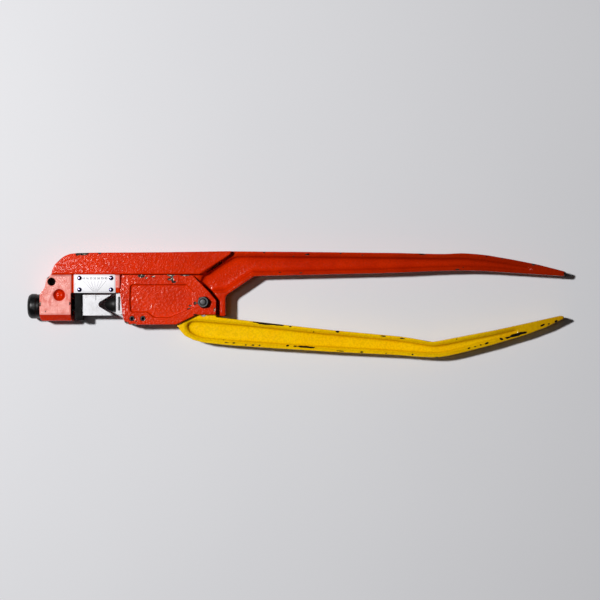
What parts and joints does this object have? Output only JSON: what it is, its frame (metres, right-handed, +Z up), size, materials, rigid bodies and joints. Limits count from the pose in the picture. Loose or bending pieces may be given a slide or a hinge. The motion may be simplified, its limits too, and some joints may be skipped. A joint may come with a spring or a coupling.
{
  "type": "cable lug crimping tool",
  "caption": "Long-handled mechanical hand crimper for cable lugs: cast C-frame with V nest, punch ram, cam-driven moving handle and adjusting knob.",
  "frame": {"origin": "middle of the overall length and width, on the surface the tool lies on", "axes": "+X along the handles away from the head, +Y from the moving handle to the fixed one, +Z up out of the side with the cover"},
  "size_m": [0.648, 0.128, 0.0418],
  "materials": {
    "red_paint": "hammered gloss enamel on a rough casting, chipped",
    "yellow_paint": "gloss enamel on a rough casting, chipped",
    "ground_steel": "ground bright",
    "dark_steel": "oiled, dull",
    "black_steel": "black oxide",
    "aluminium": "satin, engraved",
    "rivet_steel": "polished",
    "bronze": "turned"
  },
  "bodies": {
    "frame": {"frame": "red_paint", "front_cover": "red_paint", "guide_block": "dark_steel", "cover_pins": "ground_steel", "pivot_bolt": "dark_steel", "pivot_nut": "dark_steel", "spring_post": "ground_steel", "return_spring": "ground_steel", "scale_plate": "aluminium", "scale_rivets": "rivet_steel", "spindle_pin": "red_paint"},
    "handle": {"moving_handle": "yellow_paint", "cam_plate": "dark_steel", "cam_pin": "ground_steel", "handle_bush": "bronze"},
    "ram": {"ram": "ground_steel", "punch": "black_steel", "punch_clip": "black_steel"},
    "adjuster": {"adjusting_spindle": "dark_steel", "adjusting_knob": "black_steel", "knob_pin": "ground_steel"},
    "nest": {"nest_die": "ground_steel", "nest_holder": "black_steel", "nest_screws": "black_steel"}
  },
  "joints": [
    {"name": "handle_swing", "type": "hinge", "parent": "frame", "child": "handle", "pos_m": [-0.1123, 0.0029, 0.018], "axis": [0, 0, 1], "range_deg": [-45, 0]},
    {"name": "ram_slide", "type": "slide", "parent": "frame", "child": "ram", "axis": [1, 0, 0], "range_m": [0, 0.00945], "deforming": ["return_spring"]},
    {"name": "knob_turn", "type": "hinge", "parent": "frame", "child": "adjuster", "pos_m": [-0.31, -0.0022, 0.018], "axis": [1, 0, 0], "range_deg": [-315, 315]},
    {"name": "nest_slide", "type": "slide", "parent": "frame", "child": "nest", "axis": [1, 0, 0], "range_m": [-0.0035, 0.0035]}
  ],
  "couplings": [
    {"joint": "ram_slide", "follows": "handle_swing", "m_per_rad": -0.012},
    {"joint": "nest_slide", "follows": "knob_turn", "m_per_rad": -0.0006366}
  ]
}
